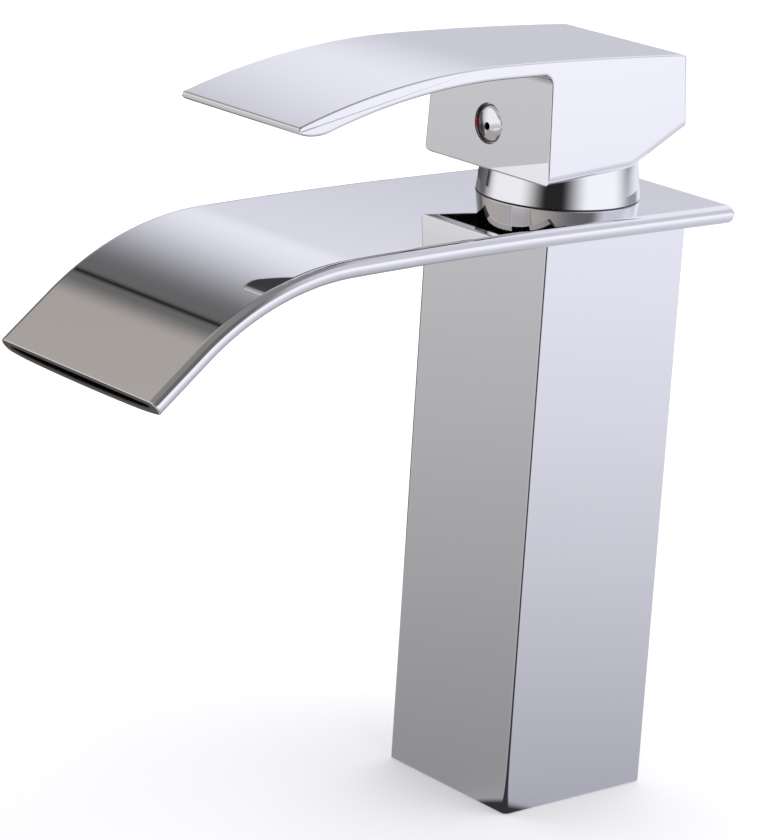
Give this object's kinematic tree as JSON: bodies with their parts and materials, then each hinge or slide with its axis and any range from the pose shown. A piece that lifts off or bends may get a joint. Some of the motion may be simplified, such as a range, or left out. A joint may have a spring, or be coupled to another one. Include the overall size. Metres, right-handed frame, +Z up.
{
  "type": "waterfall basin faucet",
  "caption": "Tall square-column basin mixer with a flat waterfall spout that bends down to a full-width slot, and a single lever on top.",
  "frame": {"origin": "centre of the column's foot, on the surface that the faucet stands on", "axes": "+Z up, -Y towards the spout's tip and the lever's tip, -X the hot side"},
  "size_m": [0.0538, 0.1521, 0.1667],
  "materials": {
    "chrome": "mirror-polished chrome plating",
    "brass": "machined brass",
    "copper": "drawn copper tube",
    "rubber": "smooth black rubber",
    "slip_plastic": "white low-friction plastic",
    "cartridge_plastic": "moulded light grey plastic",
    "slider_plastic": "moulded blue plastic",
    "disc_ceramic": "lapped alumina",
    "steel": "plain stainless steel",
    "red_mark": "red enamel dot",
    "blue_mark": "blue enamel dot"
  },
  "bodies": {
    "body": {"column": "chrome", "waterfall_spout": "chrome", "bonnet": "chrome", "valve_body": "brass", "inlet_block": "brass", "cartridge_nut": "brass", "hot_riser": "copper", "cold_riser": "copper", "riser_seals": "rubber", "base_seal": "rubber", "bonnet_seal": "rubber", "cartridge_seal": "rubber", "base_port_seals": "rubber", "disc_port_seals": "rubber", "thrust_washer": "slip_plastic", "cartridge_shell": "cartridge_plastic", "cartridge_base": "cartridge_plastic", "fixed_disc": "disc_ceramic"},
    "swivel": {"stem_carrier": "slider_plastic", "pivot_pin": "steel"},
    "lever": {"cartridge_stem": "brass", "lever_handle": "chrome", "indicator_plug": "chrome", "hot_mark": "red_mark", "cold_mark": "blue_mark", "grub_screw": "steel"},
    "disc": {"disc_driver": "slider_plastic", "moving_disc": "disc_ceramic"}
  },
  "joints": [
    {"name": "handle_swivel", "type": "hinge", "parent": "body", "child": "swivel", "pos_m": [0, 0, 0.13702], "axis": [0, 0, 1], "range_deg": [-45, 45]},
    {"name": "handle_lift", "type": "hinge", "parent": "swivel", "child": "lever", "pos_m": [0, 0, 0.13702], "axis": [-1, 0, 0], "range_deg": [0, 25]},
    {"name": "disc_slide", "type": "slide", "parent": "swivel", "child": "disc", "axis": [0, -1, 0], "range_m": [0, 0.004]}
  ],
  "couplings": [
    {"joint": "disc_slide", "follows": "handle_lift", "m_per_rad": 0.009}
  ]
}
